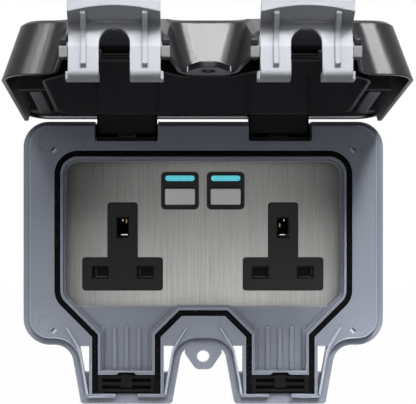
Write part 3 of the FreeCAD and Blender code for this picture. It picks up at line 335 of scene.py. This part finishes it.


# Lid seal: soft black foam strip, laid in the groove of the frame. Its open cells are bumps, and
# paler specks in its colour are painted glints of light on them.
foam = Finish("seal_foam", Specular_IOR_Level=0.05)
cells = foam.noise(3800.0, 3.0)
painted_glints = ((foam.noise(900.0, 2.0) - 0.62) * 6.0).clamped()
foam.drive("Base Color", foam.blend(painted_glints, (0.004, 0.004, 0.005), (0.05, 0.05, 0.055)))
foam.drive("Roughness", 0.85 - painted_glints * 0.3)
foam.relief(cells, 0.00008, 0.0005)
wear(foam.material, "lid_seal")


# Cable seals: black rubber combs, pushed into the mouths of the spouts and into the nose of the
# lid. Their fingers part round a cable.
rubber = moulded("seal_rubber", (0.006, 0.006, 0.007), 0.65, grain=1500.0, depth=0.00003, edge=0.0003,
                 Specular_IOR_Level=0.12)
wear(rubber, "cable_seal_left", "cable_seal_right", "lid_cable_seal_left", "lid_cable_seal_right")


# Screws, hinge pins and shutter springs: zinc-plated steel, turned, drawn and bent from strip,
# with a dull grey shine.
plated = Finish("plated_steel", Metallic=1.0)
turned = plated.noise(600.0, 3.0)
plated.drive("Base Color", plated.blend(turned, (0.42, 0.42, 0.43), (0.58, 0.58, 0.58)))
plated.drive("Roughness", 0.28 + turned * 0.12)
plated.relief(turned, 0.000008, 0.0002)
wear(plated.material, "frame_screws", "module_screws", "hinge_pins", "shutter_spring_left",
     "shutter_spring_right")


# Faceplate: stainless steel sheet, 1.2 mm thick, brushed upright. Long fine scratches run from
# top to bottom and spread the light sideways. Its colour holds painted light: brightest a little
# right of its middle, painted shade at its sides and a painted shadow of the lid over its top and
# upper corners.
steel = Finish("steel_face", Metallic=1.0)
long_strokes = steel.noise(1.0, 5.0, (1400.0, 1400.0, 22.0), 0.6)
short_strokes = steel.noise(1.0, 3.0, (3200.0, 3200.0, 70.0), 0.6)
cloud = steel.noise(9.0, 2.0, (1.0, 1.0, 0.35))
strokes = long_strokes * 0.6 + short_strokes * 0.4
# Painted light and shade: a painted shadow of the lid on the top and upper corners, and painted shade at the
# sides.
off_bright = steel.across(0) - 0.012
off_middle = steel.across(0) - 0.003
painted_side_shade = off_bright * off_bright * 75.0
height = steel.across(2).past(-0.040, 0.036)
painted_corner_shadow = (off_middle * off_middle * 300.0).clamped() * steel.across(2).past(-0.004, 0.020)
painted_shading = (1.30 - height * 0.44 - painted_corner_shadow * 0.34) * (1.0 - painted_side_shade)
streaks = (strokes - 0.5) * 1.5 + cloud * 0.3 + 0.35
bare = steel.blend(streaks, (0.21, 0.207, 0.200), (0.46, 0.453, 0.441))
steel.drive("Base Color", steel.scaled(bare, painted_shading))
steel.drive("Roughness", 0.46 + strokes * 0.16)
steel.relief(strokes, 0.00002, 0.0003)
wear(steel.material, "steel_plate")


# Outlet inserts: satin black T-shaped mouldings with bevelled pin openings and a flange behind the
# plate. The right one is a shade paler. Black shutters close the lower two openings of each.
# Their edges and the bevels of their openings are painted darker, as painted shade.
for side, name, black in (("left", "insert_plastic", (0.014, 0.0142, 0.0142)),
                          ("right", "insert_plastic_right", (0.027, 0.027, 0.027))):
    wear(moulded(name, black, 0.42, depth=0.00001, edge=0.0005, wear_and_edge_light=-0.85, Specular_IOR_Level=0.18),
         f"socket_insert_{side}")
wear(moulded("shutter_plastic", (0.005, 0.005, 0.005), 0.5, depth=0.00001, Specular_IOR_Level=0.1),
     "shutter_left", "shutter_right")

# Low in the wall of each lower pin opening runs a narrow step, from its first to its last x. Three
# of these openings also have a narrow post at one side. Both are painted much paler than the
# insert, as painted highlights on the walls of the opening.
way_y, step_z, post_z = -0.0389, -0.02195, -0.0196
step_painted_highlight = moulded("step_highlight", (0.105, 0.107, 0.102), 0.4, edge=0.0001)
for name, first, last, post in (("left_outer", -0.0530, -0.0469, -0.0528),
                                ("left_inner", -0.0312, -0.0245, -0.0310),
                                ("right_inner", 0.0253, 0.0318, None),
                                ("right_outer", 0.0477, 0.0534, 0.0537)):
    plain_block(f"way_step_{name}", step_painted_highlight, "housing",
                ((first + last) / 2, way_y, step_z), (last - first, 0.0005, 0.0004), 0.0001)
    if post:
        plain_block(f"way_post_{name}", step_painted_highlight, "housing",
                    (post, way_y, post_z), (0.0004, 0.0005, 0.0040), 0.0001)


# Socket housing: off-white heat-proof moulding behind the plate. It holds the contacts of both
# outlets in closed wells, and four screws fix it.
wear(moulded("module_plastic", (0.60, 0.60, 0.57), 0.45), "socket_module")


# Contacts and terminal screws: pressed brass strip and turned brass screws, held in the wells of
# the housing. The brass is bright where the pins rub.
brass = Finish("contact_brass", Metallic=1.0)
wear_and_edge_light = brass.noise(260.0, 3.0)
brass.drive("Base Color", brass.blend(wear_and_edge_light, (0.62, 0.43, 0.17), (0.80, 0.62, 0.33)))
brass.drive("Roughness", 0.20 + wear_and_edge_light * 0.15)
brass.relief(wear_and_edge_light, 0.00001, 0.0002)
wear(brass.material, "live_contacts", "neutral_contacts", "terminal_screws")


# Earth contacts: strip bent into leaves that grip the pin in each earth way, coloured nearly black
# as painted shade deep in the well. A bare brass leaf, a tinned rolled end and a tinned tip on each
# catch the light.
contact_y, roll_z, tip_z = -0.0300, -0.0014, 0.0059
painted_well_shade = Finish("contact_painted_shade", Metallic=0.3, Specular_IOR_Level=0.2)
shade_mottle = painted_well_shade.noise(420.0, 3.0)
painted_well_shade.drive("Base Color", painted_well_shade.blend(shade_mottle, (0.006, 0.005, 0.004), (0.022, 0.016, 0.009)))
painted_well_shade.drive("Roughness", 0.5 + shade_mottle * 0.2)
painted_well_shade.relief(shade_mottle, 0.00001)
wear(painted_well_shade.material, "earth_contacts")
tin_bright = moulded("contact_tin", (0.95, 0.95, 0.95), 0.16, depth=0.000005, edge=0.0001, Metallic=1.0)
for side, leaf_x, leaf_z, roll_x, roll_width, tip_x in (("left", -0.0380, 0.0054, -0.0390, 0.0038, -0.0398),
                                                        ("right", 0.0388, 0.0034, 0.0406, 0.0042, 0.0409)):
    plain_block(f"earth_leaf_{side}", brass.material, "housing",
                (leaf_x, contact_y, leaf_z), (0.0010, 0.0010, 0.0022), 0.0003)
    plain_block(f"earth_roll_{side}", tin_bright, "housing",
                (roll_x, contact_y, roll_z), (roll_width, 0.0010, 0.0010), 0.0003)
    plain_block(f"earth_tip_{side}", tin_bright, "housing",
                (tip_x, contact_y, tip_z), (0.0008, 0.0008, 0.0012), 0.0002)


# Button bezels: rounded squares of satin black plastic, clipped into the plate from behind. Each
# holds a light bar over a key.
bezel_black = moulded("bezel_plastic", (0.010, 0.010, 0.011), 0.34, depth=0.000008, edge=0.0004,
                      Specular_IOR_Level=0.2)
wear(bezel_black, "button_bezel_left", "button_bezel_right")


# Light bars: clear blue-green lenses over small lamps, pressed into the bezels. They glow evenly,
# with a faint cloudiness.
lens = Finish("light_lens", Roughness=0.25, Emission_Strength=0.62)
glow = lens.noise(300.0, 2.0)
lens.drive("Base Color", lens.blend(glow, (0.095, 0.58, 0.66), (0.19, 0.76, 0.82)))
lens.drive("Emission Color", lens.blend(glow, (0.05, 0.50, 0.62), (0.14, 0.70, 0.80)))
lens.relief(glow, 0.00001, 0.0005)
wear(lens.material, "light_bar_left", "light_bar_right")


# Button keys: plastic caps with rounded edges, lacquered silver and brushed like the plate. They
# slide in their bezels.
key_lacquer = Finish("key_silver", Metallic=0.85)
key_strokes = key_lacquer.noise(1.0, 3.0, (2600.0, 2600.0, 60.0), 0.6)
key_lacquer.drive("Base Color", key_lacquer.blend(key_strokes, (0.32, 0.32, 0.318), (0.43, 0.43, 0.426)))
key_lacquer.drive("Roughness", 0.30 + key_strokes * 0.14)
key_lacquer.relief(key_strokes, 0.00001, 0.0006)
wear(key_lacquer.material, "button_key_left", "button_key_right")


# Circuit board and switches: green glass laminate behind the buttons, which carries a small black
# switch for each key.
wear(moulded("board_laminate", (0.02, 0.12, 0.045), 0.40, grain=900.0), "control_board")
wear(moulded("switch_plastic", (0.015, 0.015, 0.015), 0.5), "tact_switches")


# Lid: one black moulding that swings on the hinge pins. Its mould is polished outside and finely
# grained inside.
lid = Finish("lid_plastic", Specular_IOR_Level=0.19)
lid_flow = lid.noise(28.0, 3.0)
lid_fine = lid.noise(2600.0, 2.0)
upward = lid.facing(2)
downward = 1.0 - upward.past(-0.9, -0.8)
skin = lid.blend(lid_flow, (0.005, 0.005, 0.006), (0.007, 0.007, 0.0085))
grained = lid.blend(lid_flow, (0.058, 0.057, 0.066), (0.074, 0.073, 0.083))

# The grained inside fades out towards the front of the lid, and leaves out what faces up. At the
# back end of the lid, what faces the front is painted pale grey and glossy, as a painted reflection
# on that rim.
inner = lid.across(1).past(-0.125, -0.085) * (1.0 - upward.past(0.2, 0.5))
back_end = lid.across(1).past(-0.0395, -0.0370) * lid.across(2).past(0.0530, 0.0545)
painted_rim_sheen = back_end * (-lid.facing(1)).past(0.4, 0.8)

# The padlock tab is painted paler underneath, as painted light, and the wall of its hole is painted
# black, as painted shade. Distances from the middle of the lid and of the hole are measured by
# their squares.
tab_start, tab_half_squares = (0.137, 0.139), (0.00016, 0.00020)
hole_y, hole_radius_squares = -0.1470, (0.0000098, 0.0000118)
squared_x = lid.across(0) * lid.across(0)
on_tab = (-lid.across(1)).past(*tab_start) * (1.0 - squared_x.past(*tab_half_squares))
tab_under = on_tab * downward
off_hole = lid.across(1) - hole_y
in_hole = 1.0 - (squared_x + off_hole * off_hole).past(*hole_radius_squares)
hole_wall = in_hole * (1.0 - downward)

plain = lid.blend(tab_under, lid.blend(inner, skin, grained), (0.115, 0.112, 0.124))
plain = lid.blend(hole_wall, plain, (0.001, 0.001, 0.001))
lid.drive("Base Color", lid.blend(painted_rim_sheen, plain, (0.40, 0.40, 0.43)))
lid.drive("Metallic", painted_rim_sheen)
lid.drive("Roughness", 0.27 + lid_flow * 0.06 + lid_fine * 0.05 + inner * 0.21 - painted_rim_sheen * 0.26)
lid.relief(lid_fine, 0.00002, 0.0008)
wear(lid.material, "lid_shell")

# The ends of the padlock tab are paler grey.
tab_bright = moulded("tab_end_grey", (0.17, 0.17, 0.175), 0.4, edge=0.0001)
for side, end_x in (("left", -0.0085), ("right", 0.0091)):
    plain_block(f"tab_end_{side}", tab_bright, "lid",
                (end_x, -0.1463, 0.0687), (0.0006, 0.0008, 0.0023), 0.0002)


# Hinge arms: they are moulded with the lid. Each has a thin cheek on both sides, which runs close
# to the walls of its bay and is coloured darker as painted shade in that narrow gap, and a short
# slot where the hinge pin goes in. The slot's edge is painted pale as a painted highlight, paler on
# the left arm than on the right, and its gap is painted dark as painted shadow.
arm_x = 0.0372
arm_inner, arm_outer, arm_front, arm_top = 0.020, 0.055, -0.0545, 0.0590
cheek_thick = 0.0008
cheeks = bmesh.new()
cheeks.from_mesh(parts["lid_shell"].data)
others = []
for wall in cheeks.faces:
    spot = wall.calc_center_median()
    upright = abs(wall.normal.x) >= 0.99
    if not (upright and arm_inner <= abs(spot.x) <= arm_outer and spot.y >= arm_front and spot.z <= arm_top):
        others.append(wall)
bmesh.ops.delete(cheeks, geom=others, context="FACES")
raised = bmesh.ops.extrude_face_region(cheeks, geom=cheeks.faces[:])
for corner in raised["geom"]:
    if isinstance(corner, bmesh.types.BMVert):
        outward = math.copysign(1.0, corner.co.x) * math.copysign(1.0, abs(corner.co.x) - arm_x)
        corner.co.x += outward * cheek_thick
cheek_mesh = bpy.data.meshes.new("arm_cheeks")
cheeks.to_mesh(cheek_mesh)
cheeks.free()
cheek_mesh.materials.append(moulded("cheek_plastic", (0.004, 0.004, 0.005), 0.6, edge=0.0002,
                                    Specular_IOR_Level=0.1))
hang("arm_cheeks", cheek_mesh, "lid")

pin_slot_x, pin_slot_y, pin_slot_z = 0.0370, -0.04545, 0.0474
slot_shadow = moulded("slot_shadow", (0.020, 0.010, 0.006), 0.5, edge=0.0001)
for side, x, edge_highlight in (("left", -pin_slot_x, (0.42, 0.41, 0.40)), ("right", pin_slot_x, (0.15, 0.125, 0.09))):
    slot_edge = moulded(f"slot_edge_{side}", edge_highlight, 0.4, edge=0.0001)
    for kind, material, width, tall, ahead in (("edge", slot_edge, 0.0082, 0.0016, 0.0),
                                               ("gap", slot_shadow, 0.0066, 0.0009, 0.00005)):
        plain_block(f"arm_slot_{kind}_{side}", material, "lid",
                    (x, pin_slot_y - ahead, pin_slot_z), (width, 0.0003, tall), 0.00008, tilt=-36)


# Lid cable seals: dark rubber faces on the nose of the lid, one behind the arch of each latch.
# Each is a short length of one profile, whose corners are given back and up. The latches stand in
# line with the hinge arms.
latch_sides = (("left", -arm_x), ("right", arm_x))
nose_half = 0.0072
nose_profile = [(-0.1618, 0.0822), (-0.1641, 0.0826), (-0.1662, 0.0812), (-0.1679, 0.0785),
                (-0.1690, 0.0756), (-0.1688, 0.0742), (-0.1655, 0.0742), (-0.1655, 0.0770)]
nose_rubber = moulded("nose_rubber", (0.003, 0.003, 0.004), 0.8, grain=1500.0, depth=0.00003, edge=0.0003,
                      Specular_IOR_Level=0.03)
count = len(nose_profile)
nose_walls = [(corner, (corner + 1) % count, count + (corner + 1) % count, count + corner)
              for corner in range(count)]
nose_ends = [tuple(range(count - 1, -1, -1)), tuple(range(count, 2 * count))]
for side, middle in latch_sides:
    mesh = bpy.data.meshes.new(f"nose_seal_{side}")
    corners = [(middle + way * nose_half, y, z) for way in (-1, 1) for y, z in nose_profile]
    mesh.from_pydata(corners, [], nose_walls + nose_ends)
    mesh.materials.append(nose_rubber)
    soft = hang(f"nose_seal_{side}", mesh, "lid").modifiers.new("edges", "BEVEL")
    soft.width = 0.0005
    soft.segments = 3


# Latches: silver-grey moulded levers with two hooked legs and a flared thumb tab, snapped into the
# ears of the lid by their studs. Their colour is painted in bands by height, as painted reflections
# and painted shade at the bend, and their lower upward faces are painted dim, as painted shade.
latch_silver = Finish("latch_silver", Metallic=0.0, Specular_IOR_Level=0.3)
latch_flow = latch_silver.noise(45.0, 3.0)
latch_fine = latch_silver.noise(2400.0, 2.0)
latch_level = latch_silver.across(2)
# Painted bands: painted light on the legs and the top, painted shade at the bend and on the rib ends.
painted_light_band = latch_level.past(0.0735, 0.0748) * 0.28
painted_bend_shade = latch_level.past(0.0782, 0.0808) * 0.55
painted_top_light = latch_level.past(0.0835, 0.0850) * 0.2
painted_rib_shade = latch_silver.facing(2).past(0.3, 0.7) * (1.0 - latch_level.past(0.0879, 0.0882)) * 0.6
lacquer = latch_silver.blend(latch_flow, (0.215, 0.225, 0.245), (0.25, 0.261, 0.28))
painted_sheen = 0.97 + painted_light_band - painted_bend_shade + painted_top_light - painted_rib_shade
latch_silver.drive("Base Color", latch_silver.scaled(lacquer, painted_sheen))
latch_silver.drive("Roughness", 0.30 + latch_flow * 0.06 + latch_fine * 0.05)
latch_silver.relief(latch_fine, 0.000012, 0.0006)
wear(latch_silver.material, "latch_left", "latch_right")


# Latch bearings: rough grey blocks in front of the ears of the lid, one on each side of a latch,
# with a small black cheek above each. They are moulded with the lid.
bearing_y, bearing_z, ear_cheek_z = -0.1762, 0.0722, 0.0759
bearing_grey = moulded("bearing_plastic", (0.11, 0.11, 0.113), 0.5, grain=900.0, depth=0.00006, spread=0.25)
for side, middle in latch_sides:
    for way in (-1, 1):
        end = "outer" if way * middle > 0 else "inner"
        plain_block(f"latch_bearing_{side}_{end}", bearing_grey, "lid",
                    (middle + way * 0.0198, bearing_y, bearing_z), (0.0036, 0.0012, 0.0044), 0.0003)
        plain_block(f"latch_cheek_{side}_{end}", lid.material, "lid",
                    (middle + way * 0.0200, bearing_y, ear_cheek_z), (0.0030, 0.0012, 0.0030), 0.0006)


# The studio: a white floor under the object and pale surroundings, which show white behind the
# object. Their white is seen by the view, in gloss and through clear pieces, and lights nothing.
floor_half, floor_z = 3.0, -0.20


def seen(nodes):
    """1 where the view, a gloss or a clear piece looks at the surroundings, and 0 elsewhere."""
    view, gloss, clear = (nodes.node("ShaderNodeLightPath", {}, {}, f"Is {kind} Ray")
                          for kind in ("Camera", "Glossy", "Transmission"))
    return (view + gloss + clear).clamped()


floor_mesh = bpy.data.meshes.new("floor")
floor_corners = [(x * floor_half, y * floor_half, floor_z) for x, y in ((-1, -1), (1, -1), (1, 1), (-1, 1))]
floor_mesh.from_pydata(floor_corners, [], [(0, 1, 2, 3)])
floor = bpy.data.objects.new("floor", floor_mesh)
bpy.context.scene.collection.objects.link(floor)
paper = Finish("floor_paper", Roughness=0.9, Specular_IOR_Level=0.1)
fibres = paper.noise(180.0, 3.0)
paper.drive("Base Color", paper.blend(fibres, (0.66, 0.66, 0.66), (0.70, 0.70, 0.70)))
lit = Wire(paper, paper.shader.outputs[0])
white = paper.node("ShaderNodeEmission", {}, {"Color": (1.0, 1.0, 1.0, 1.0), "Strength": 1.0})
shown = paper.node("ShaderNodeMixShader", {}, {0: seen(paper) * 0.99, 1: lit, 2: white})
paper.feed(paper.tree.nodes["Material Output"].inputs["Surface"], shown)
floor_mesh.materials.append(paper.material)

world = bpy.data.worlds.new("studio")
world.use_nodes = True
bpy.context.scene.world = world
sky = Nodes(world.node_tree)
dim = sky.tree.nodes["Background"]
dim.inputs["Color"].default_value = (0.05, 0.051, 0.053, 1.0)
bright = sky.node("ShaderNodeBackground", {}, {"Color": (1.0, 1.0, 1.0, 1.0)})
shown = sky.node("ShaderNodeMixShader", {}, {0: seen(sky), 1: Wire(sky, dim.outputs[0]), 2: bright})
sky.feed(sky.tree.nodes["World Output"].inputs["Surface"], shown)


# The lamps: three narrow ones high in front draw the highlights on the lid, a wide soft one lower
# down fills the front, and a weak one on each side lights the ends.
def lamp(name, turn, rise, distance, width, height, power, beam):
    """A soft rectangular lamp that looks at the socket from a bearing and a height, in degrees."""
    light = bpy.data.lights.new(name, "AREA")
    light.shape = "RECTANGLE"
    light.size = width
    light.size_y = height
    light.energy = power
    light.spread = math.radians(beam)
    middle = Vector((0.0, -0.10, 0.05))
    bearing, climb = math.radians(turn), math.radians(rise)
    level = math.cos(climb)
    away = Vector((math.sin(bearing) * level, -math.cos(bearing) * level, math.sin(climb)))
    stand = bpy.data.objects.new(name, light)
    stand.location = middle + away * distance
    stand.rotation_euler = away.to_track_quat("Z", "Y").to_euler()
    bpy.context.scene.collection.objects.link(stand)


lamp("key_lamp", turn=0, rise=53, distance=1.15, width=0.17, height=0.22, power=0.72, beam=35)
lamp("left_key", turn=-35, rise=52, distance=1.15, width=0.26, height=0.22, power=0.17, beam=35)
lamp("right_key", turn=28, rise=52, distance=1.15, width=0.22, height=0.22, power=0.66, beam=35)
lamp("front_lamp", turn=0, rise=37, distance=1.25, width=0.8, height=0.35, power=1.28, beam=60)
lamp("left_lamp", turn=-48, rise=28, distance=1.3, width=0.3, height=0.6, power=0.20, beam=45)
lamp("right_lamp", turn=48, rise=28, distance=1.3, width=0.3, height=0.6, power=0.08, beam=45)
